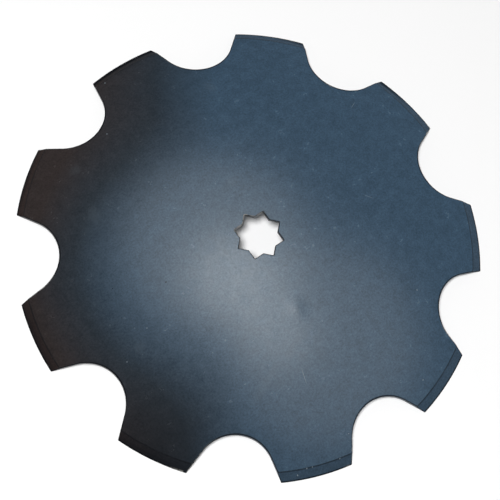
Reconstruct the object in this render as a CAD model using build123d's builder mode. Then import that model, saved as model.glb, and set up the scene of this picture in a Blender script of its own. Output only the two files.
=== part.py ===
from build123d import *

import math
import os

# Notched, dished harrow disc blade: one piece of plate steel, pressed into a shallow dome, with
# notches punched round its rim and a star-shaped hole for a square axle. It lies hollow side down
# on its tooth edges. The origin is on the axis, in the plane of the cutting edges, with +Z
# towards the crown, and a tooth and a point of the star lie on +Y.

# The pressed plate
blade_diameter = 406.4
plate_thickness = 3.5
dish_depth = 35.0

# The ground cutting edge of each tooth, on the domed side: a small shoulder, the bevel and a land
bevel_width = 7.5
shoulder_width = 0.6
shoulder_depth = 0.8
edge_land = 0.8

# The notches between the teeth
tooth_count = 9
notch_depth = 37.0
notch_radius = 34.0
notch_flare_angle = 32.0

# The axle and the play round it
axle_side = 28.6
axle_play = 1.6

# How far every cutter runs past the plate
cut_overrun = 10.0

blade_radius = blade_diameter / 2
crown_height = dish_depth + plate_thickness
hole_side = axle_side + axle_play

# Both faces are parts of spheres with one centre below the blade, so the wall is even
hollow_radius = (blade_radius**2 + dish_depth**2) / (2 * dish_depth)
dome_radius = hollow_radius + plate_thickness
sphere_centre_height = dish_depth - hollow_radius


def face_height(sphere_radius, distance):
    """Height of a face of the plate above the edge plane, at a distance from the axis."""
    return sphere_centre_height + math.sqrt(sphere_radius**2 - distance**2)


shoulder_radius = blade_radius - bevel_width
shoulder_height = face_height(dome_radius, shoulder_radius)
bevel_radius = shoulder_radius + shoulder_width
bevel_height = shoulder_height - shoulder_depth
mid_radius = blade_radius / 2

# Each notch is a round bottom whose sides run on straight and flared, past the rim
notch_centre_radius = blade_radius - notch_depth + notch_radius
flare = math.radians(notch_flare_angle)
side_start_radius = notch_centre_radius - notch_radius * math.sin(flare)
side_start_offset = notch_radius * math.cos(flare)
side_end_radius = blade_radius + cut_overrun
side_end_offset = side_start_offset + (side_end_radius - side_start_radius) * math.tan(flare)
tooth_pitch_angle = 360 / tooth_count
first_notch_angle = 90 + tooth_pitch_angle / 2

with BuildPart() as disc_blade:
    # The section of the plate from the axis to the rim, turned once round the axis
    with BuildSketch(Plane.XZ):
        with BuildLine():
            ThreePointArc(
                (0, dish_depth),
                (mid_radius, face_height(hollow_radius, mid_radius)),
                (blade_radius, 0),
            )
            Line((blade_radius, 0), (blade_radius, edge_land))
            Line((blade_radius, edge_land), (bevel_radius, bevel_height))
            Line((bevel_radius, bevel_height), (shoulder_radius, shoulder_height))
            ThreePointArc(
                (shoulder_radius, shoulder_height),
                (mid_radius, face_height(dome_radius, mid_radius)),
                (0, crown_height),
            )
            Line((0, crown_height), (0, dish_depth))
        make_face()
    revolve(axis=Axis.Z)

    # One notch outline, along +X, and its copies between the teeth
    with BuildSketch(mode=Mode.PRIVATE) as notch:
        with BuildLine():
            ThreePointArc(
                (side_start_radius, side_start_offset),
                (notch_centre_radius - notch_radius, 0),
                (side_start_radius, -side_start_offset),
            )
            Line((side_start_radius, -side_start_offset), (side_end_radius, -side_end_offset))
            Line((side_end_radius, -side_end_offset), (side_end_radius, side_end_offset))
            Line((side_end_radius, side_end_offset), (side_start_radius, side_start_offset))
        make_face()
    with BuildSketch(Plane.XY.offset(-cut_overrun)):
        with PolarLocations(0, tooth_count, start_angle=first_notch_angle):
            add(notch.sketch)
    extrude(amount=crown_height + 2 * cut_overrun, mode=Mode.SUBTRACT)

    # Two equal squares, one turned by half a right angle, make the eight-pointed hole
    with BuildSketch(Plane.XY.offset(-cut_overrun)):
        Rectangle(hole_side, hole_side)
        Rectangle(hole_side, hole_side, rotation=45)
    extrude(amount=crown_height + 2 * cut_overrun, mode=Mode.SUBTRACT)

disc_blade.part.label = "disc_blade"

os.makedirs("parts", exist_ok=True)
export_step(disc_blade.part, "parts/disc_blade.step")
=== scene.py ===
import math

import bmesh
import bpy
import numpy as np
from mathutils import Matrix, Vector


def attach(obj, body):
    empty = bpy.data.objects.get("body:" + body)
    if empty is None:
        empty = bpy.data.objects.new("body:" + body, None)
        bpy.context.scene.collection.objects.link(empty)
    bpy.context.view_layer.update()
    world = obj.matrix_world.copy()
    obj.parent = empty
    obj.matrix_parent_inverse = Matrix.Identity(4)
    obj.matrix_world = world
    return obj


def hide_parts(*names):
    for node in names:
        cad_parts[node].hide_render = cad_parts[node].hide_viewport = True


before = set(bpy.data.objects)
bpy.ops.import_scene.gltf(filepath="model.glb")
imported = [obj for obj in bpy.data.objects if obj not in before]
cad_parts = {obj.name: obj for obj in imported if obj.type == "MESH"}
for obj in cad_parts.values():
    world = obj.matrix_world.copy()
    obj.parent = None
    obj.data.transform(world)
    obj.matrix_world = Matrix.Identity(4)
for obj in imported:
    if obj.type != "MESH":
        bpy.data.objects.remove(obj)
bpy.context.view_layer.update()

bl_info = {
    "name": "Harrow disc blade",
    "version": (1, 0, 0),
    "blender": (4, 5, 0),
    "location": "View3D > Sidebar > Disc blade",
    "description": "Makes a notched, dished harrow disc blade of painted steel, and a pale studio",
    "category": "Add Mesh",
}

MM = 0.001
NODE = "disc_blade"
BODY = "root"
BLADE = "blade_plate"
FLOOR = "studio_floor"

# Steps along the outline of one half pitch
NOTCH_STEPS = 22
FLANK_STEPS = 16
CORNER_STEPS = 4
RIM_STEPS = 14

# Rows of points near the hole: steps in mm from its edge, and how often its outline is smoothed
STAR_INSETS = (0.9, 2.0)
STAR_SMOOTHINGS = 6

# Rows on both faces: distances in mm from the axis, then shares of the way from the last circle
# outwards
CIRCLES = (
    26, 30, 35, 40, 46, 52, 57, 61, 64, 67, 70, 73, 76, 79, 82, 86, 91, 97, 104, 112, 120, 128,
    136, 144, 152, 158,
)
HOLLOW_CIRCLES = (26, 34, 44, 56, 70, 84, 98, 112, 126, 140, 150, 158)
OUTER_SHARES = (0.2, 0.4, 0.6, 0.8)
HOLLOW_OUTER_SHARES = (0.35, 0.7)

# Rows near the rim: distances in mm inside the outline and inside the bevel's inner line, shares
# of the bevel and of the wall, and steps round a rounded edge
BORDER_INSET = 1.5
BROW_INSET = 0.35
BEVEL_SHARES = (0.07, 0.35, 0.6, 0.85)
WALL_SHARES = (0.35, 0.7)
ROUND_STEPS = 4

MERGE_DISTANCE = 0.004 * MM
SHARP_ANGLE = math.radians(28)

# Waves in the plate: length in mm, heading in degrees, phase in radians and height in mm
PLATE_WAVES = (
    (210.0, 20.0, 0.4, 0.12),
    (150.0, 115.0, 1.9, 0.07),
    (96.0, 65.0, 3.1, 0.03),
)

# A low round bulge in the plate: place from the axis, size and height in mm
BULGES = ((-10.0, -69.5, 7.5, 0.55),)

# Values that the mesh carries for the paint
PAINT_VALUES = ("domed_face", "near_edge", "near_step", "burr")

# Bright lines on the outline and on the star hole, partly burrs that stand through the paint and
# partly painted highlight of the rounded edge, and painted shade that spreads inwards from the
# cutting edge: heading and spread in degrees, and strength
RIM_BURRS_AND_GLINTS = (
    (-141.2, 3.0, 1.0),
    (-100.6, 1.6, 1.0),
    (-58.5, 1.2, 1.0),
    (1.0, 2.2, 1.0),
    (30.6, 1.2, 1.0),
    (159.0, 1.4, 1.0),
)
STAR_BURRS_AND_GLINTS = ((102.0, 42.0, 1.0),)
RIM_SHADE = (
    (90.0, 22.0, 0.6),
    (131.0, 13.0, 0.3),
    (170.0, 14.0, 0.25),
    (-150.0, 14.0, 0.3),
    (41.0, 8.0, 0.4),
    (18.0, 8.0, 0.5),
)

# Share of the bevel from which that painted shade lies on it, and nearness to an edge on a wall
# and at its foot
RIM_SHADE_SHARE = 0.6
WALL_NEARNESS, FOOT_NEARNESS = 0.3, 0.6

# Marks and patches of painted shade on the domed face. Each kind has the softness of its border,
# its strength and its ovals: place from the axis, length and width in mm, and heading of the
# length in degrees
# Painted shade: dark patches where the lamps leave the face dark, and along two stretches of the
# rim
SHADE_PATCHES = (1.6, 0.6, (
    (-185.0, -107.0, 112.0, 84.0, 30.0),
    (0.0, 205.0, 110.0, 16.0, 0.0),
    (-217.0, 38.3, 40.0, 240.0, 170.0),
))
SMUDGES = (1.6, 0.05, (
    (-92.3, 137.3, 9.0, 7.0, 20.0),
    (-102.1, 92.7, 13.0, 9.0, 70.0),
    (-134.8, -22.4, 9.0, 7.0, 0.0),
    (48.6, 137.7, 10.0, 7.0, 110.0),
    (8.6, 51.4, 10.0, 8.0, 40.0),
    (-69.8, -106.4, 26.0, 7.0, 25.0),
))
SCRATCHES = (0.9, 0.35, (
    (148.8, 56.9, 7.0, 0.5, 24.0),
    (-36.0, -118.0, 12.0, 0.4, 75.0),
    (104.0, -22.0, 9.0, 0.4, 130.0),
))
CHIPS = (0.5, 0.8, (
    (-23.1, 194.0, 1.1, 0.8, 0.0),
    (-51.5, 149.7, 1.0, 0.9, 0.0),
    (-121.6, -12.8, 0.9, 0.7, 30.0),
    (-150.0, -26.3, 0.9, 0.8, 0.0),
    (91.7, -111.3, 1.1, 0.8, 60.0),
    (51.9, -176.3, 1.0, 0.8, 0.0),
    (-83.5, -180.8, 1.4, 1.0, 80.0),
    (-74.4, -180.7, 1.2, 0.8, 60.0),
    (-69.9, -182.3, 0.9, 0.7, 0.0),
    (-46.5, -189.6, 1.1, 0.8, 20.0),
    (-97.1, -169.3, 1.1, 0.8, 0.0),
    (-29.4, -177.2, 0.9, 0.7, 0.0),
    (-177.5, 66.5, 1.8, 0.9, 160.0),
    (-172.5, 70.5, 1.0, 0.8, 0.0),
))
DARK_SPOTS = (0.6, 0.8, (
    (-87.6, 10.0, 1.5, 1.2, 0.0),
    (-126.0, 31.0, 1.0, 0.8, 0.0),
))

# The paint thins and darkens towards one side, and a little towards the rim. That darkening is
# painted shade of the side that the lamps leave dark, drawn as thin paint over mill scale. Heading
# of that side, how far in mm the rim counts as lying further to that side, and the rim's distance
# in mm from the axis
THIN_AND_SHADED_HEADING = math.radians(150)
THIN_AND_SHADED_RIM = 26.0
RIM_REACH = 203.2

# Where towards that side, in mm, the paint is thick, half thin and all but bare, with its painted
# shade deepening as it thins, and how far in mm clouds and mottling make it stray
THICK_PLACE, HALF_THIN_AND_SHADED_PLACE, BARE_AND_SHADED_PLACE = 34.0, 92.0, 160.0
CLOUD_STRAY, MOTTLE_STRAY = 22.0, 12.0

# A round patch where the thinning and its painted shade are held back: its middle, its reach and
# how far it holds them back, in mm
SHADE_HOLDBACK = (-122.0, 46.0, 152.0, 86.0)

# Sizes in mm of the paint's patterns, and heights in mm of its bumps. The film's grain of about
# 0.3 mm is drawn larger, so that it shows
CLOUD_SIZE = 80.0
MOTTLE_SIZE = 9.0
GRAIN_SIZE = 1.6
RAGGED_SIZE, RAGGED_STRAY = 4.0, 1.5
BREAK_SIZE = 3.0
DUST_SPACING = 22.0
RIPPLE_SIZE, RIPPLE_HEIGHT = 2.4, 0.012
PITTING_HEIGHT = 0.012

# Between which values a noise runs from one look to the other, and by how much it changes the tone
MOTTLE_SPAN, MOTTLE_CONTRAST = (0.3, 0.7), 0.12
GRAIN_SPAN, GRAIN_CONTRAST = (0.25, 0.75), 0.26
BREAK_SPAN, BURR_AND_GLINT_STRENGTH = (0.36, 0.52), 0.8

# Nearness to an edge at which the painted shade along edges begins and is full, and its strength
# at an edge and in the step
EDGE_SHADE_SPAN = (0.1, 0.6)
EDGE_SHADE_STRENGTH, STEP_SHADE_STRENGTH = 0.85, 0.6

# Where a speck of dust ends and where it is full, as shares of the dust's spacing, its strength
# on thick paint, and what thin paint adds to it
SPECK_SPAN = (0.026, 0.016)
THICK_SPECK, THIN_SPECK = 0.1, 0.2

# How much the spray makes the roughness stray, and how much duller an edge is
ROUGHNESS_STRAY = 0.025
EDGE_DULLNESS = 0.1

# Round soft boxes: name, heading, elevation and half width in degrees, and brightness
BLADE_BOXES = (
    ("soft_box_crown", 43.0, 80.2, 8.4, 5.1),
    ("soft_box_front", -46.8, 77.4, 7.0, 4.1),
    ("soft_box_front_wide", -44.6, 67.1, 20.2, 1.5),
    ("soft_box_back_wide", 55.6, 73.9, 18.5, 2.0),
)
FLOOR_BOX = ("soft_box_floor", 189.8, 71.6, 6.0, 99.0)
BOX_DISTANCE = 3.0
WORLD_STRENGTH = 0.12
WHITE = (1.0, 1.0, 1.0, 1.0)

# The floor: distances in m of its rings from the axis, its flat part's radius and its curved edge's
# radius in m, the steps of that edge and the steps round the axis
FLOOR_RINGS = (0.02, 0.3, 1.0, 2.0)
FLOOR_RADIUS = 3.5
SWEEP_RADIUS = 1.2
SWEEP_STEPS = 24
TURN_STEPS = 96
FLOOR_GAP = 0.05 * MM

# Share of the floor's tone that is its own light, near the blade and far off, and both distances
# in m
NEAR_GLOW, FAR_GLOW = 0.06, 0.35
NEAR_REACH, FAR_REACH = 0.5, 2.0

SENSOR_WIDTH = 36.0


def linear(hex_colour):
    """Linear red, green and blue of an sRGB hex colour, by the sRGB curve."""
    parts = np.array([int(hex_colour[k:k + 2], 16) for k in (1, 3, 5)]) / 255
    curve = np.where(parts <= 0.04045, parts / 12.92, ((parts + 0.055) / 1.055) ** 2.4)
    return tuple(curve.tolist())


def opaque(colour):
    """A colour of three parts with full alpha."""
    return (*colour, 1.0)


class BladeSizes(bpy.types.PropertyGroup):
    """Sizes of the plate, its notches, its ground edge and its hole."""

    blade_radius: bpy.props.FloatProperty(
        name="Blade radius", description="From the axis to the cutting edges",
        default=203.2 * MM, unit="LENGTH",
    )
    plate_thickness: bpy.props.FloatProperty(
        name="Plate thickness", description="Wall between the domed and the hollow face",
        default=3.5 * MM, unit="LENGTH",
    )
    dish_depth: bpy.props.FloatProperty(
        name="Dish depth",
        description="Height of the hollow face on the axis above the cutting edges",
        default=35.0 * MM, unit="LENGTH",
    )
    bevel_width: bpy.props.FloatProperty(
        name="Bevel width",
        description="Mean width of the ground band, from the cutting edge inwards",
        default=7.5 * MM, unit="LENGTH",
    )
    bevel_drift: bpy.props.FloatProperty(
        name="Bevel drift", description="How far the ground band lies off the axis",
        default=1.3 * MM, unit="LENGTH",
    )
    bevel_heading: bpy.props.FloatProperty(
        name="Bevel heading", description="Where round the blade the ground band is widest",
        default=math.radians(-65), subtype="ANGLE",
    )
    shoulder_width: bpy.props.FloatProperty(
        name="Shoulder width",
        description="Width of the small step at the inner side of the bevel",
        default=0.6 * MM, unit="LENGTH",
    )
    shoulder_depth: bpy.props.FloatProperty(
        name="Shoulder depth",
        description="Height of the small step at the inner side of the bevel",
        default=0.8 * MM, unit="LENGTH",
    )
    edge_land: bpy.props.FloatProperty(
        name="Edge land", description="Height of the blunt cutting edge",
        default=0.8 * MM, unit="LENGTH",
    )
    tooth_count: bpy.props.IntProperty(
        name="Teeth", description="Number of teeth, and of notches between them",
        default=9, min=3,
    )
    notch_depth: bpy.props.FloatProperty(
        name="Notch depth", description="From the rim to the bottom of a notch",
        default=37.0 * MM, unit="LENGTH",
    )
    notch_radius: bpy.props.FloatProperty(
        name="Notch radius", description="Radius of the round bottom of a notch",
        default=34.0 * MM, unit="LENGTH",
    )
    notch_flare: bpy.props.FloatProperty(
        name="Notch flare",
        description="Angle between a notch's flank and the notch's middle line",
        default=math.radians(32), subtype="ANGLE",
    )
    hole_side: bpy.props.FloatProperty(
        name="Hole side",
        description="Side of the two squares that make the star-shaped axle hole",
        default=30.2 * MM, unit="LENGTH",
    )
    edge_round: bpy.props.FloatProperty(
        name="Edge rounding",
        description="Radius on the punched edges, where the paint has run over them",
        default=0.35 * MM, unit="LENGTH",
    )
    corner_round: bpy.props.FloatProperty(
        name="Corner rounding", description="Radius of a tooth's two corners, seen from above",
        default=0.9 * MM, unit="LENGTH",
    )


class PaintColours(bpy.types.PropertyGroup):
    """Paint colours, of what shows through and lies on it, and of painted shade and highlight."""

    thick: bpy.props.FloatVectorProperty(
        name="Thick paint", description="Blue-grey paint where it covers well",
        subtype="COLOR", default=linear("#415a70"), min=0, max=1,
    )
    # Thin paint and mill scale also paint shade: the paint turns to them on the side that the lamps
    # leave dark
    thin: bpy.props.FloatVectorProperty(
        name="Thin paint", description="The same paint where the dark plate shows through",
        subtype="COLOR", default=linear("#2f3943"), min=0, max=1,
    )
    scale: bpy.props.FloatVectorProperty(
        name="Mill scale", description="Brown-black scale under the last haze of paint",
        subtype="COLOR", default=linear("#3b3332"), min=0, max=1,
    )
    # Also the colour of painted shade: dark patches, and dark lines at the step and the edges
    grime_and_shade: bpy.props.FloatVectorProperty(
        name="Grime", description="Soot, dark spots, and dark lines at the step and the edges",
        subtype="COLOR", default=linear("#12161c"), min=0, max=1,
    )
    ground: bpy.props.FloatVectorProperty(
        name="Ground edge",
        description="Tint that the ground steel under it gives the paint on the bevel",
        subtype="COLOR", default=linear("#f7ebe6"), min=0, max=1,
    )
    dust: bpy.props.FloatVectorProperty(
        name="Dust", description="Pale smudges, specks, scratches and chips in the paint",
        subtype="COLOR", default=linear("#98a6b0"), min=0, max=1,
    )
    # Cool tint of the paint's reflections, which makes the highlights bluer
    sheen: bpy.props.FloatVectorProperty(
        name="Sheen",
        description="Cool cast that the pigment near the surface gives the paint's sheen",
        subtype="COLOR", default=linear("#f6fcff"), min=0, max=1,
    )
    # Also the colour of painted highlight on rounded edges
    steel: bpy.props.FloatVectorProperty(
        name="Bare steel", description="Burrs that stand through the paint",
        subtype="COLOR", default=linear("#b9b9b4"), min=0, max=1,
    )


class StudioLook(bpy.types.PropertyGroup):
    """Where the camera stands, and the tone of the floor."""

    camera_azimuth: bpy.props.FloatProperty(
        name="Camera azimuth", description="Heading of the camera, from +X towards +Y",
        default=math.radians(-150.2), subtype="ANGLE",
    )
    camera_elevation: bpy.props.FloatProperty(
        name="Camera elevation", description="Angle of the camera above the floor",
        default=math.radians(70.335), subtype="ANGLE",
    )
    camera_roll: bpy.props.FloatProperty(
        name="Camera roll", description="Turn of the camera about its own line of sight",
        default=math.radians(25.975), subtype="ANGLE",
    )
    camera_distance: bpy.props.FloatProperty(
        name="Camera distance", description="From the camera to the point that it looks at",
        default=1275.9 * MM, unit="LENGTH",
    )
    camera_lens: bpy.props.FloatProperty(
        name="Focal length", description="Focal length in mm on a 36 mm sensor", default=106.41,
    )
    camera_aim: bpy.props.FloatVectorProperty(
        name="Camera aim", description="The point on the floor that the camera looks at",
        default=(-2.37 * MM, 0.16 * MM, 0.0), subtype="TRANSLATION", unit="LENGTH",
    )
    floor_colour: bpy.props.FloatVectorProperty(
        name="Floor", description="Pale floor and the wall that it curves up into",
        subtype="COLOR", default=linear("#f2f2f2"), min=0, max=1,
    )


def planar(heading, reach):
    """Points in a plane from their headings and their distances from the axis."""
    return np.stack([reach * np.cos(heading), reach * np.sin(heading)], axis=-1)


def bevel_radius(sizes, heading):
    """Radius of the bevel's inner line, a circle whose centre lies away from the wide side."""
    off = heading - sizes.bevel_heading
    line = sizes.blade_radius - sizes.bevel_width
    along, across = sizes.bevel_drift * np.cos(off), sizes.bevel_drift * np.sin(off)
    return np.sqrt(line**2 - across**2) - along


def outline(sizes):
    """Rim and notches in order, as headings, reaches, headings of the normals and bevel radii.

    One half pitch, from the middle of a notch to the middle of a tooth, is worked out with the
    notch's middle line along +X. It runs along a circle round the notch's centre, a straight flank
    that leaves the middle line by the flare angle, a small circle at the tooth's corner and the
    rim's own circle. Every other half pitch is its mirror image, and each is turned to its own
    notch. On a circle a point is the centre plus the radius times its normal, and on the notch's
    circle it is minus.
    """
    radius, notch = sizes.blade_radius, sizes.notch_radius
    flare, inset, corner = sizes.notch_flare, sizes.edge_round, sizes.corner_round
    pitch = 2 * math.pi / sizes.tooth_count
    halves = np.arange(2 * sizes.tooth_count)
    mirror = np.where(halves % 2 == 0, 1.0, -1.0)[:, None]
    notch_heading = (math.pi / 2 - pitch / 2 + pitch * ((halves + 1) // 2))[:, None]

    centre = np.array([radius - sizes.notch_depth + notch, 0.0])
    along = np.array([math.cos(flare), math.sin(flare)])
    outward = np.array([math.sin(flare), -math.cos(flare)])
    flank_start = centre - notch * outward

    def run_to(circle, shift):
        """How far along the flank, moved inwards by shift, it meets a circle round the axis."""
        start = flank_start - shift * outward
        ahead = start @ along
        return -ahead + np.sqrt(ahead**2 - start @ start + circle**2)

    corner_run = run_to(radius - corner, corner)
    corner_centre = flank_start - corner * outward + corner_run * along
    rim_heading = math.atan2(corner_centre[1], corner_centre[0])
    bevel = bevel_radius(sizes, notch_heading + mirror * rim_heading)

    first, last = run_to(bevel, inset), run_to(bevel + sizes.shoulder_width, inset)
    share = np.linspace(0, 1, FLANK_STEPS + 1)[None, 1:]
    short = np.linspace(0, 1, CORNER_STEPS + 1)[None, 1:]
    runs = np.concatenate(
        [first * share, first + (last - first) * short, last + (corner_run - last) * short], axis=1
    )

    turn = np.linspace(0, flare - math.pi / 2, NOTCH_STEPS + 1)
    notch_points = centre - notch * np.stack([np.cos(turn), np.sin(turn)], axis=-1)
    flank_points = flank_start + runs[..., None] * along
    bend = np.linspace(flare - math.pi / 2, rim_heading, CORNER_STEPS + 1)[1:]
    corner_points = corner_centre + corner * np.stack([np.cos(bend), np.sin(bend)], axis=-1)
    sweep = np.linspace(rim_heading, pitch / 2, RIM_STEPS + 1)[1:]
    rim_points = radius * np.stack([np.cos(sweep), np.sin(sweep)], axis=-1)

    def for_each(block):
        """The same values for every half pitch."""
        return np.broadcast_to(block, (len(halves), *block.shape))

    points = np.concatenate([
        for_each(notch_points), flank_points, for_each(corner_points), for_each(rim_points),
    ], axis=1)
    flank_normals = np.full(runs.shape[1], flare - math.pi / 2)
    normals = for_each(np.concatenate([turn, flank_normals, bend, sweep]))

    heading = np.arctan2(points[..., 1], points[..., 0]) * mirror + notch_heading
    reach = np.hypot(points[..., 0], points[..., 1])
    normal_heading = normals * mirror + notch_heading
    on_rim = np.arange(points.shape[1]) > NOTCH_STEPS + runs.shape[1]
    bevel = np.where(on_rim, bevel_radius(sizes, heading), bevel)

    def in_order(values):
        """Each half pitch without its last point, those of the mirrored ones turned end for end."""
        return np.stack([values[0::2, :-1], values[1::2, ::-1][:, :-1]], axis=1).ravel()

    return in_order(heading), in_order(reach), in_order(normal_heading), in_order(bevel)


def star_outline(sizes, heading):
    """Points of the hole, the further of two squares 45 degrees apart, and steps into the plate.

    A square's side lies at half its length from the axis, so along a heading it is met at that
    length over the larger of the heading's cosine and sine. Each point is then averaged with its
    neighbours, which rounds the punched corners a little. A step runs straight away from the axis,
    and is as long as a row one unit from the edge needs: one over the cosine between it and the
    edge's normal.
    """
    reach = np.zeros(heading.shape)
    for turn in (0.0, math.pi / 4):
        across = np.maximum(np.abs(np.cos(heading - turn)), np.abs(np.sin(heading - turn)))
        reach = np.maximum(reach, sizes.hole_side / 2 / across)
    points = planar(heading, reach)
    for _ in range(STAR_SMOOTHINGS):
        points = (np.roll(points, 1, axis=0) + 2 * points + np.roll(points, -1, axis=0)) / 4
    run = np.roll(points, -1, axis=0) - np.roll(points, 1, axis=0)
    run /= np.linalg.norm(run, axis=-1, keepdims=True)
    away = points / np.linalg.norm(points, axis=-1, keepdims=True)
    cosine = away[:, 0] * run[:, 1] - away[:, 1] * run[:, 0]
    return points, away / cosine[:, None]


def unevenness(points):
    """Height by which the pressed plate strays from its sphere: low sine waves and a round bulge.

    The bulge is its height times the exponential of minus the squared distance over its size.
    """
    x, y = points[..., 0], points[..., 1]
    height = np.zeros(x.shape)
    for length, turn, phase, rise in PLATE_WAVES:
        along = x * math.cos(math.radians(turn)) + y * math.sin(math.radians(turn))
        height += rise * MM * np.sin(2 * math.pi * along / (length * MM) + phase)
    for bulge_x, bulge_y, size, rise in BULGES:
        away = ((x - bulge_x * MM) ** 2 + (y - bulge_y * MM) ** 2) / (size * MM) ** 2
        height += rise * MM * np.exp(-away)
    return height


def face_height(sizes, points, thickness):
    """Height of the sphere a thickness above the hollow face, with unevenness fading outwards."""
    hollow = (sizes.blade_radius**2 + sizes.dish_depth**2) / (2 * sizes.dish_depth)
    flat = (points**2).sum(axis=-1)
    sphere = sizes.dish_depth - hollow + np.sqrt((hollow + thickness) ** 2 - flat)
    return sphere + unevenness(points) * (1 - flat / sizes.blade_radius**2)


def domed_height(sizes, points, bevel):
    """Height of the upper face: the dome, the small step and a straight slope to the land."""
    away = np.hypot(points[..., 0], points[..., 1])
    dome = face_height(sizes, points, sizes.plate_thickness)
    toe = bevel + sizes.shoulder_width
    line = points * (bevel / np.maximum(away, bevel))[..., None]
    brow = face_height(sizes, line, sizes.plate_thickness)
    foot = brow - sizes.shoulder_depth
    step = brow + (foot - brow) * (away - bevel) / sizes.shoulder_width
    slope = foot + (sizes.edge_land - foot) * (away - toe) / (sizes.blade_radius - toe)
    return np.where(away <= bevel, dome, np.where(away <= toe, step, slope))


def along_edge(heading, table):
    """Largest of a table's round bumps along an edge.

    A bump is its strength times the exponential of minus the squared turn over its spread.
    """
    largest = np.zeros(heading.shape)
    for middle, spread, strength in table:
        off = (heading - math.radians(middle) + math.pi) % (2 * math.pi) - math.pi
        largest = np.maximum(largest, strength * np.exp(-((off / math.radians(spread)) ** 2)))
    return largest


def blade_rows(sizes):
    """Closed section of the blade, carried round the axis: rows of points and values for paint.

    The rows run from the hole's upper edge over the dome to the rim, down the wall, back over the
    hollow face and up the hole's wall. Between the last circle and the outline a point divides a
    straight line by a share. Off the teeth the bevel's rows all fall on the outline, and are merged
    later. The values, from 0 to 1, say how near a point is to an edge or to the step, which the
    paint darkens as painted shade, and whether it lies on the ground bevel, on burrs and painted
    edge highlights, or on the domed face.
    """
    heading, reach, normal_heading, bevel = outline(sizes)
    inset = sizes.edge_round
    edge = planar(heading, reach)
    outward = planar(normal_heading, np.ones(heading.shape))
    border = edge - inset * outward
    border_reach = np.hypot(border[:, 0], border[:, 1])
    border_heading = np.unwrap(np.arctan2(border[:, 1], border[:, 0]))
    brow = planar(border_heading, np.minimum(bevel, border_reach))
    toe = planar(border_heading, np.minimum(bevel + sizes.shoulder_width, border_reach))
    on_tooth = (border_reach > bevel + sizes.shoulder_width).astype(float)
    off_tooth = 1 - on_tooth
    star, star_step = star_outline(sizes, heading)
    star_border = star + inset * star_step
    last_circle = planar(heading, np.full(heading.shape, CIRCLES[-1] * MM))
    # Bright edge lines, partly burrs and partly painted highlight, and painted shade along the
    # cutting edge
    rim_burr, star_burr = along_edge(heading, RIM_BURRS_AND_GLINTS), along_edge(heading, STAR_BURRS_AND_GLINTS)
    notch_burr = rim_burr * off_tooth
    rim_shade = along_edge(heading, RIM_SHADE) * on_tooth

    rows = []
    values = {name: [] for name in (*PAINT_VALUES, "ground_bevel")}

    def add(points, heights, **given):
        """One more row, with its heights and its values; a value that isn't given is 0."""
        heights = np.broadcast_to(heights, points.shape[:1])
        rows.append(np.concatenate([points, heights[:, None]], axis=1))
        for name, kept in values.items():
            kept.append(np.broadcast_to(given.get(name, 0.0), points.shape[:1]))

    def on_dome(points, **given):
        """One more row on the domed side."""
        add(points, domed_height(sizes, points, bevel), domed_face=1.0, **given)

    def on_hollow(points, **given):
        """One more row on the hollow face."""
        add(points, face_height(sizes, points, 0.0), **given)

    def inner_border(limit, inwards):
        """A row that lies a distance in mm inside a line near the outline."""
        span = np.linalg.norm(limit - last_circle, axis=1, keepdims=True)
        return limit + (last_circle - limit) / span * np.reshape(inwards, (-1, 1)) * MM

    on_dome(star_border, near_edge=1.0, burr=star_burr)
    for distance in STAR_INSETS:
        on_dome(star + distance * MM * star_step)
    for circle in CIRCLES:
        on_dome(planar(heading, np.full(heading.shape, circle * MM)))
    inside_brow = inner_border(brow, BROW_INSET * on_tooth + BORDER_INSET * off_tooth)
    for share in OUTER_SHARES:
        on_dome(last_circle + (inside_brow - last_circle) * share)
    on_dome(inside_brow)
    for row in (brow, toe):
        on_dome(
            row, near_edge=off_tooth, near_step=on_tooth, ground_bevel=on_tooth, burr=notch_burr,
        )
    # On the teeth, painted shade lies on the outer part of the bevel
    for share in BEVEL_SHARES:
        nearness = off_tooth + rim_shade * (share >= RIM_SHADE_SHARE)
        row = toe + (border - toe) * share
        on_dome(row, near_edge=nearness, ground_bevel=on_tooth, burr=notch_burr)
    on_dome(border, near_edge=1.0, ground_bevel=on_tooth, burr=rim_burr)

    border_top = domed_height(sizes, border, bevel)
    for turn in np.linspace(0, math.pi / 2, ROUND_STEPS + 1)[1:]:
        row = border + outward * (inset * math.sin(turn))
        height = border_top - inset * (1 - math.cos(turn))
        add(row, height, near_edge=1.0, ground_bevel=on_tooth, burr=rim_burr)

    wall_top, wall_foot = border_top - inset, face_height(sizes, border, 0.0) + inset / 2
    for share in WALL_SHARES:
        add(edge, wall_top + (wall_foot - wall_top) * share, near_edge=WALL_NEARNESS)
    add(edge, wall_foot, near_edge=FOOT_NEARNESS)
    on_hollow(border, near_edge=1.0)
    inside_border = inner_border(border, BORDER_INSET)
    on_hollow(inside_border)
    for share in HOLLOW_OUTER_SHARES:
        on_hollow(inside_border + (last_circle - inside_border) * share)
    for circle in HOLLOW_CIRCLES[::-1]:
        on_hollow(planar(heading, np.full(heading.shape, circle * MM)))
    for distance in STAR_INSETS[::-1]:
        on_hollow(star + distance * MM * star_step)
    on_hollow(star_border, near_edge=1.0)

    star_top = domed_height(sizes, star_border, bevel)
    star_foot = face_height(sizes, star_border, 0.0)
    star_wall = star_top - star_foot - 2 * inset
    add(star, star_foot + inset, near_edge=FOOT_NEARNESS)
    for share in WALL_SHARES:
        add(star, star_foot + inset + star_wall * share, near_edge=WALL_NEARNESS)
    for turn in np.linspace(math.pi / 2, 0, ROUND_STEPS + 1)[:-1]:
        row = star_border - star_step * (inset * math.sin(turn))
        add(row, star_top - inset * (1 - math.cos(turn)), near_edge=1.0, burr=star_burr)
    return np.stack(rows), {name: np.stack(kept) for name, kept in values.items()}


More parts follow.
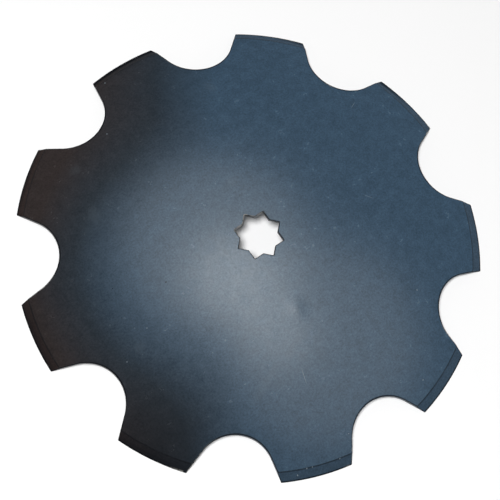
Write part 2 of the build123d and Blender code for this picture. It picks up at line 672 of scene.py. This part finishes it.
def closed_mesh(name, grid, values):
    """Mesh of a grid that closes on itself both ways, with points that fall together made one.

    A face takes the second material where all four of its points lie on the ground bevel.
    """
    rows, columns = grid.shape[:2]
    index = np.arange(rows * columns).reshape(rows, columns)
    below, beside = np.roll(index, -1, axis=0), np.roll(index, -1, axis=1)
    faces = np.stack([index, below, np.roll(beside, -1, axis=0), beside], axis=-1).reshape(-1, 4)
    mesh = bpy.data.meshes.new(name)
    mesh.from_pydata(grid.reshape(-1, 3).tolist(), [], faces.tolist())
    ground = values["ground_bevel"].ravel()[faces].min(axis=1) > 0.5
    mesh.polygons.foreach_set("material_index", ground.astype(np.int32))
    for value_name in PAINT_VALUES:
        each = np.ascontiguousarray(values[value_name], dtype=np.float32).ravel()
        mesh.attributes.new(value_name, "FLOAT", "POINT").data.foreach_set("value", each)
    shape = bmesh.new()
    shape.from_mesh(mesh)
    bmesh.ops.remove_doubles(shape, verts=shape.verts, dist=MERGE_DISTANCE)
    shape.to_mesh(mesh)
    shape.free()
    mesh.polygons.foreach_set("use_smooth", np.ones(len(mesh.polygons), dtype=bool))
    mesh.set_sharp_from_angle(angle=SHARP_ANGLE)
    return mesh


def node(tree, kind, links=None, **settings):
    """Adds one node with its settings. Links give, for each input, a node, an output or a value."""
    made = tree.nodes.new(kind)
    for key, value in settings.items():
        setattr(made, key, value)
    for key, value in (links or {}).items():
        if isinstance(value, bpy.types.Node):
            value = next(output for output in value.outputs if output.enabled)
        if isinstance(value, bpy.types.NodeSocket):
            tree.links.new(value, made.inputs[key])
        else:
            made.inputs[key].default_value = value
    return made


def marks(tree, flat, kind, where):
    """Share of a kind of mark at a place: the largest of its ovals, times where it may be.

    A place is moved and turned to the oval's own axes and divided by its half length and half
    width, so its length is 1 on the oval's border. The softness is how much of that the fall to
    nothing takes.
    """
    softness, strength, ovals = kind
    largest = 0.0
    for x, y, length, width, turn in ovals:
        own = node(tree, "ShaderNodeMapping", {
            "Vector": flat, "Location": (x * MM, y * MM, 0.0),
            "Rotation": (0.0, 0.0, math.radians(turn)),
            "Scale": (length / 2 * MM, width / 2 * MM, 1.0),
        }, vector_type="TEXTURE")
        away = node(tree, "ShaderNodeVectorMath", {0: own}, operation="LENGTH")
        inside = node(tree, "ShaderNodeMapRange", {
            "Value": away, "From Min": 1 + softness / 2, "From Max": 1 - softness / 2,
            "To Max": strength,
        }, interpolation_type="SMOOTHSTEP")
        largest = node(tree, "ShaderNodeMath", {0: inside, 1: largest}, operation="MAXIMUM")
    return node(tree, "ShaderNodeMath", {0: largest, 1: where}, operation="MULTIPLY")


def thinness_and_shade(tree, flat, mottle):
    """How thin the paint is, and so how much painted shade darkens it, from 0 to 1.

    It rises straight towards one side and with the square of the distance from the axis, sinks
    round the middle of a held-back patch, and strays with soft clouds and the mottling.
    """
    lean = (math.cos(THIN_AND_SHADED_HEADING), math.sin(THIN_AND_SHADED_HEADING), 0.0)
    side = node(tree, "ShaderNodeVectorMath", {0: flat, 1: lean}, operation="DOT_PRODUCT")
    square = node(tree, "ShaderNodeVectorMath", {0: flat, 1: flat}, operation="DOT_PRODUCT")
    rising = node(tree, "ShaderNodeMath", {
        0: square, 1: THIN_AND_SHADED_RIM * MM / (RIM_REACH * MM) ** 2, 2: side,
    }, operation="MULTIPLY_ADD")
    patch_x, patch_y, reach, hold = SHADE_HOLDBACK
    from_patch = node(tree, "ShaderNodeVectorMath", {
        0: flat, 1: (patch_x * MM, patch_y * MM, 0.0),
    }, operation="DISTANCE")
    held = node(tree, "ShaderNodeMapRange", {
        "Value": from_patch, "From Max": reach * MM, "To Min": -hold * MM, "To Max": 0.0,
    }, interpolation_type="SMOOTHSTEP")
    rising = node(tree, "ShaderNodeMath", {0: rising, 1: held}, operation="ADD")
    clouds = node(tree, "ShaderNodeTexNoise", {
        "Vector": flat, "Scale": 1 / (CLOUD_SIZE * MM), "Detail": 3.0, "Roughness": 0.5,
    })
    for pattern, stray in ((clouds, CLOUD_STRAY), (mottle, MOTTLE_STRAY)):
        rising = node(tree, "ShaderNodeMath", {
            0: pattern, 1: stray * MM, 2: rising,
        }, operation="MULTIPLY_ADD")
    mean_stray = (CLOUD_STRAY + MOTTLE_STRAY) / 2
    return node(tree, "ShaderNodeMapRange", {
        "Value": rising,
        "From Min": (THICK_PLACE + mean_stray) * MM, "From Max": (BARE_AND_SHADED_PLACE + mean_stray) * MM,
    })


def enamel(name, colours, tint, roughness, specular):
    """Blue-grey enamel with film tone, grain, marks, burrs, painted shade and painted highlight."""
    material = bpy.data.materials.new(name)
    material.use_nodes = True
    tree = material.node_tree
    tree.nodes.clear()
    place = node(tree, "ShaderNodeTexCoord").outputs["Object"]
    flat = node(tree, "ShaderNodeVectorMath", {0: place, 1: (1.0, 1.0, 0.0)}, operation="MULTIPLY")
    domed, near_edge, near_step, burr = (
        node(tree, "ShaderNodeAttribute", attribute_name=value).outputs["Fac"]
        for value in PAINT_VALUES
    )

    # The paint's colour by its thickness, which also paints shade on one side, with spray mottling
    # and the film's grain
    mottle = node(tree, "ShaderNodeTexNoise", {
        "Vector": place, "Scale": 1 / (MOTTLE_SIZE * MM), "Detail": 3.0, "Roughness": 0.6,
    })
    grain = node(tree, "ShaderNodeTexNoise", {
        "Vector": place, "Scale": 1 / (GRAIN_SIZE * MM), "Detail": 2.0, "Roughness": 0.75,
    })
    thinness_with_shade = thinness_and_shade(tree, flat, mottle)
    paint = node(tree, "ShaderNodeValToRGB", {"Fac": thinness_with_shade})
    stops = paint.color_ramp.elements
    stops.new((HALF_THIN_AND_SHADED_PLACE - THICK_PLACE) / (BARE_AND_SHADED_PLACE - THICK_PLACE))
    for stop, colour in zip(stops, (colours.thick, colours.thin, colours.scale)):
        stop.color = opaque(np.multiply(colour, tint))
    mottled = node(tree, "ShaderNodeMapRange", {
        "Value": mottle, "From Min": MOTTLE_SPAN[0], "From Max": MOTTLE_SPAN[1],
        "To Min": 1 - MOTTLE_CONTRAST, "To Max": 1 + MOTTLE_CONTRAST,
    })
    grained = node(tree, "ShaderNodeMapRange", {
        "Value": grain, "From Min": GRAIN_SPAN[0], "From Max": GRAIN_SPAN[1],
        "To Min": 1 - GRAIN_CONTRAST, "To Max": 1 + GRAIN_CONTRAST,
    })
    shade = node(tree, "ShaderNodeMath", {0: mottled, 1: grained}, operation="MULTIPLY")
    tone = node(tree, "ShaderNodeVectorMath", {0: paint, "Scale": shade}, operation="SCALE")

    # Painted shade lies in the step and along the edges
    edge_shade = node(tree, "ShaderNodeMapRange", {
        "Value": near_edge, "From Min": EDGE_SHADE_SPAN[0], "From Max": EDGE_SHADE_SPAN[1],
        "To Max": EDGE_SHADE_STRENGTH,
    })
    grime_and_shade = node(tree, "ShaderNodeMath", {
        0: near_step, 1: STEP_SHADE_STRENGTH, 2: edge_shade,
    }, operation="MULTIPLY_ADD", use_clamp=True)

    # Smudges have a ragged border, and specks of dust show more where the paint is thin
    ragged = node(tree, "ShaderNodeTexNoise", {
        "Vector": place, "Scale": 1 / (RAGGED_SIZE * MM), "Detail": 2.0,
    })
    shift = node(tree, "ShaderNodeVectorMath", {
        0: ragged.outputs["Color"], 1: (2 * RAGGED_STRAY * MM, 2 * RAGGED_STRAY * MM, 0.0),
        2: (-RAGGED_STRAY * MM, -RAGGED_STRAY * MM, 0.0),
    }, operation="MULTIPLY_ADD")
    strayed = node(tree, "ShaderNodeVectorMath", {0: flat, 1: shift}, operation="ADD")
    cells = node(tree, "ShaderNodeTexVoronoi", {"Vector": flat, "Scale": 1 / (DUST_SPACING * MM)})
    dusty = node(tree, "ShaderNodeMath", {
        0: thinness_with_shade, 1: THIN_SPECK, 2: THICK_SPECK,
    }, operation="MULTIPLY_ADD")
    speck = node(tree, "ShaderNodeMapRange", {
        "Value": cells, "From Min": SPECK_SPAN[0], "From Max": SPECK_SPAN[1], "To Max": dusty,
    })
    speck = node(tree, "ShaderNodeMath", {0: speck, 1: domed}, operation="MULTIPLY")

    # Bright lines along some edges, partly burrs of unpainted steel and partly painted highlight of
    # the rounded edge, broken here and there
    broken = node(tree, "ShaderNodeTexNoise", {
        "Vector": place, "Scale": 1 / (BREAK_SIZE * MM), "Detail": 1.0,
    })
    bare_and_glint = node(tree, "ShaderNodeMapRange", {
        "Value": broken, "From Min": BREAK_SPAN[0], "From Max": BREAK_SPAN[1],
        "To Max": BURR_AND_GLINT_STRENGTH,
    })
    bare_and_glint = node(tree, "ShaderNodeMath", {0: bare_and_glint, 1: burr}, operation="MULTIPLY")

    # Painted shade in dark patches, in the step and along the edges, then smudges, specks,
    # scratches, chips and dark spots, and bright edge lines that are partly burrs and partly
    # painted highlight
    for share, colour in (
        (marks(tree, flat, SHADE_PATCHES, domed), colours.grime_and_shade),
        (grime_and_shade, colours.grime_and_shade),
        (marks(tree, strayed, SMUDGES, domed), colours.dust),
        (speck, colours.dust),
        (marks(tree, flat, SCRATCHES, domed), colours.dust),
        (marks(tree, flat, CHIPS, domed), colours.dust),
        (marks(tree, flat, DARK_SPOTS, domed), colours.grime_and_shade),
        (bare_and_glint, colours.steel),
    ):
        tone = node(tree, "ShaderNodeMix", {
            "Factor": share, "A": tone, "B": opaque(colour),
        }, data_type="RGBA")

    # Uneven from the spray, and duller along the edges. The grain breaks up the sheen, and the
    # painted shade along an edge has hardly any sheen
    uneven = node(tree, "ShaderNodeMapRange", {
        "Value": mottle, "From Min": MOTTLE_SPAN[0], "From Max": MOTTLE_SPAN[1],
        "To Min": roughness - ROUGHNESS_STRAY, "To Max": roughness + ROUGHNESS_STRAY,
    })
    dullness = node(tree, "ShaderNodeMath", {
        0: near_edge, 1: EDGE_DULLNESS, 2: uneven,
    }, operation="MULTIPLY_ADD")
    sheen_off_shade = node(tree, "ShaderNodeMath", {
        0: edge_shade, 1: -specular, 2: specular,
    }, operation="MULTIPLY_ADD")
    sheen = node(tree, "ShaderNodeMath", {0: sheen_off_shade, 1: grained}, operation="MULTIPLY")

    # Ripple of the film, and the plate's own pitting under it
    waves = node(tree, "ShaderNodeTexNoise", {
        "Vector": place, "Scale": 1 / (RIPPLE_SIZE * MM), "Detail": 2.0, "Roughness": 0.6,
    })
    ripple = node(tree, "ShaderNodeBump", {
        "Height": waves, "Strength": 1.0, "Distance": RIPPLE_HEIGHT * MM,
    })
    pitting = node(tree, "ShaderNodeBump", {
        "Height": grain, "Strength": 1.0, "Distance": PITTING_HEIGHT * MM, "Normal": ripple,
    })
    surface = node(tree, "ShaderNodeBsdfPrincipled", {
        "Base Color": tone, "Roughness": dullness, "Metallic": 0.0, "IOR": 1.5,
        "Specular IOR Level": sheen, "Specular Tint": opaque(colours.sheen), "Normal": pitting,
    })
    node(tree, "ShaderNodeOutputMaterial", {"Surface": surface})
    return material


def sprayed_enamel(colours):
    """Semi-gloss enamel, sprayed thinly on pressed and heat-treated plate steel.

    The eye gets a dark, soft sheen with a fine grain, browner and darker towards one side as thin
    paint over the scale with painted shade, faint smudges from handling, painted shade as dark
    patches and as dark lines at the step and the edges, and thin bright lines that are partly burrs
    standing through the paint and partly painted highlight.
    """
    return enamel(
        "sprayed_enamel_on_pressed_steel", colours,
        tint=(1.0, 1.0, 1.0), roughness=0.25, specular=0.51,
    )


def dusted_bevel(colours):
    """The last dry overspray of the same enamel, on ground steel.

    The eye gets a greyer band without sheen, that stays dark where it faces away.
    """
    return enamel(
        "dry_overspray_on_ground_steel", colours,
        tint=colours.ground, roughness=0.65, specular=0.12,
    )


class MESH_OT_disc_blade(bpy.types.Operator):
    """Make the blade: dished plate with notches, ground edge, star hole and paint"""

    bl_idname = "mesh.disc_blade"
    bl_label = "Disc blade"
    bl_options = {"REGISTER", "UNDO"}

    def execute(self, context):
        grid, values = blade_rows(context.scene.blade_sizes)
        blade = bpy.data.objects.new(BLADE, closed_mesh(BLADE, grid, values))
        context.scene.collection.objects.link(blade)
        for finish in (sprayed_enamel, dusted_bevel):
            blade.data.materials.append(finish(context.scene.blade_paint))
        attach(blade, BODY)
        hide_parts(NODE)
        return {"FINISHED"}


def studio_shell():
    """Round floor that curves up into a low wall: a profile turned about the axis.

    The profile is flat to FLOOR_RADIUS, then follows a quarter circle of SWEEP_RADIUS.
    """
    turn = np.linspace(0, math.pi / 2, SWEEP_STEPS + 1)
    distance = np.concatenate([FLOOR_RINGS, FLOOR_RADIUS + SWEEP_RADIUS * np.sin(turn)])
    rise = SWEEP_RADIUS * (1 - np.cos(turn))
    height = np.concatenate([np.zeros(len(FLOOR_RINGS)), rise]) - FLOOR_GAP
    around = np.linspace(0, 2 * math.pi, TURN_STEPS, endpoint=False)
    grid = np.stack([
        distance[:, None] * np.cos(around), distance[:, None] * np.sin(around),
        np.broadcast_to(height[:, None], (len(distance), len(around))),
    ], axis=-1)
    index = np.arange(grid.shape[0] * grid.shape[1]).reshape(grid.shape[:2])
    beside = np.roll(index, -1, axis=1)
    faces = np.stack([index[:-1], index[1:], beside[1:], beside[:-1]], axis=-1).reshape(-1, 4)
    mesh = bpy.data.meshes.new(FLOOR)
    mesh.from_pydata(grid.reshape(-1, 3).tolist(), [], [*faces.tolist(), index[0].tolist()])
    mesh.polygons.foreach_set("use_smooth", np.ones(len(mesh.polygons), dtype=bool))
    return mesh


def matt_floor(look):
    """Matt white floor paint. To the camera, and in reflections, part of its tone is its own light.

    The eye gets an even white ground that still takes the blade's soft shadow.
    """
    material = bpy.data.materials.new("matt_white_floor_paint")
    material.use_nodes = True
    tree = material.node_tree
    tree.nodes.clear()
    rays = node(tree, "ShaderNodeLightPath").outputs
    seen = rays["Is Camera Ray"]
    for ray in ("Is Glossy Ray", "Is Transmission Ray"):
        seen = node(tree, "ShaderNodeMath", {0: seen, 1: rays[ray]}, operation="MAXIMUM")
    place = node(tree, "ShaderNodeTexCoord").outputs["Object"]
    away = node(tree, "ShaderNodeVectorMath", {0: place}, operation="LENGTH")
    share = node(tree, "ShaderNodeMapRange", {
        "Value": away, "From Min": NEAR_REACH, "From Max": FAR_REACH,
        "To Min": NEAR_GLOW, "To Max": FAR_GLOW,
    })
    own = node(tree, "ShaderNodeMath", {0: seen, 1: share}, operation="MULTIPLY")
    matt = node(tree, "ShaderNodeBsdfDiffuse", {"Color": opaque(look.floor_colour)})
    glow = node(tree, "ShaderNodeEmission", {"Color": WHITE, "Strength": 1.0})
    both = node(tree, "ShaderNodeMixShader", {0: own, 1: matt, 2: glow})
    node(tree, "ShaderNodeOutputMaterial", {"Surface": both})
    return material


def direction(azimuth, elevation):
    """Unit vector towards a heading from +X and an angle above the floor."""
    flat = math.cos(elevation)
    return Vector((flat * math.cos(azimuth), flat * math.sin(azimuth), math.sin(elevation)))


def add_soft_box(name, azimuth, elevation, half_width, brightness, lit):
    """Round area light at BOX_DISTANCE, turned to face the blade, that lights only the object lit.

    Its power is pi times its area times its brightness, where a brightness of 1 is that of white
    paper in plain light.
    """
    radius = BOX_DISTANCE * math.tan(math.radians(half_width))
    data = bpy.data.lights.new(name, "AREA")
    data.shape = "DISK"
    data.size = 2 * radius
    data.energy = math.pi * (math.pi * radius**2) * brightness
    towards = direction(math.radians(azimuth), math.radians(elevation))
    box = bpy.data.objects.new(name, data)
    turned = towards.to_track_quat("Z", "Y").to_matrix().to_4x4()
    box.matrix_world = Matrix.Translation(towards * BOX_DISTANCE) @ turned
    bpy.context.scene.collection.objects.link(box)
    receivers = bpy.data.collections.new(name + "_lights")
    receivers.objects.link(lit)
    box.light_linking.receiver_collection = receivers


def add_camera(look):
    """Camera that looks at its aim from its azimuth and elevation, rolled about that line."""
    back = direction(look.camera_azimuth, look.camera_elevation)
    level = (-back).cross(Vector((0, 0, 1))).normalized()
    upright = level.cross(-back)
    up = upright * math.cos(look.camera_roll) - level * math.sin(look.camera_roll)
    right = up.cross(back)
    turned = Matrix((right, up, back)).transposed().to_4x4()
    spot = Vector(look.camera_aim) + back * look.camera_distance
    data = bpy.data.cameras.new("camera")
    data.lens = look.camera_lens
    data.sensor_width = SENSOR_WIDTH
    camera = bpy.data.objects.new("camera", data)
    camera.matrix_world = Matrix.Translation(spot) @ turned
    bpy.context.scene.collection.objects.link(camera)
    bpy.context.scene.camera = camera


class SCENE_OT_blade_studio(bpy.types.Operator):
    """Make the studio: pale floor, soft boxes, world light and camera"""

    bl_idname = "scene.blade_studio"
    bl_label = "Studio"
    bl_options = {"REGISTER", "UNDO"}

    def execute(self, context):
        look = context.scene.blade_studio
        blade = bpy.data.objects.get(BLADE)
        if blade is None:
            raise RuntimeError("the studio needs the blade, so make the disc blade first")
        context.scene.view_settings.view_transform = "Standard"
        floor = bpy.data.objects.new(FLOOR, studio_shell())
        context.scene.collection.objects.link(floor)
        floor.data.materials.append(matt_floor(look))
        world = bpy.data.worlds.new("studio_world")
        context.scene.world = world
        world.use_nodes = True
        background = world.node_tree.nodes["Background"]
        background.inputs["Color"].default_value = WHITE
        background.inputs["Strength"].default_value = WORLD_STRENGTH
        for box in BLADE_BOXES:
            add_soft_box(*box, blade)
        add_soft_box(*FLOOR_BOX, floor)
        add_camera(look)
        return {"FINISHED"}


class VIEW3D_PT_disc_blade(bpy.types.Panel):
    """Sidebar panel with the blade's sizes, its colours and the studio"""

    bl_label = "Disc blade"
    bl_space_type = "VIEW_3D"
    bl_region_type = "UI"
    bl_category = "Disc blade"

    def draw(self, context):
        scene = context.scene
        for group in (scene.blade_sizes, scene.blade_paint, scene.blade_studio):
            column = self.layout.column(align=True)
            for name in group.bl_rna.properties.keys():
                if name not in ("rna_type", "name"):
                    column.prop(group, name)
        self.layout.operator(MESH_OT_disc_blade.bl_idname)
        self.layout.operator(SCENE_OT_blade_studio.bl_idname)


CLASSES = (
    BladeSizes, PaintColours, StudioLook,
    MESH_OT_disc_blade, SCENE_OT_blade_studio, VIEW3D_PT_disc_blade,
)


def register():
    """Adds the classes and the groups of properties."""
    for made in CLASSES:
        bpy.utils.register_class(made)
    bpy.types.Scene.blade_sizes = bpy.props.PointerProperty(type=BladeSizes)
    bpy.types.Scene.blade_paint = bpy.props.PointerProperty(type=PaintColours)
    bpy.types.Scene.blade_studio = bpy.props.PointerProperty(type=StudioLook)


def unregister():
    """Takes the groups of properties and the classes away."""
    del bpy.types.Scene.blade_studio
    del bpy.types.Scene.blade_paint
    del bpy.types.Scene.blade_sizes
    for made in reversed(CLASSES):
        bpy.utils.unregister_class(made)


def main():
    """Makes the blade and the studio."""
    register()
    bpy.ops.mesh.disc_blade()
    bpy.ops.scene.blade_studio()


if __name__ == "__main__":
    main()
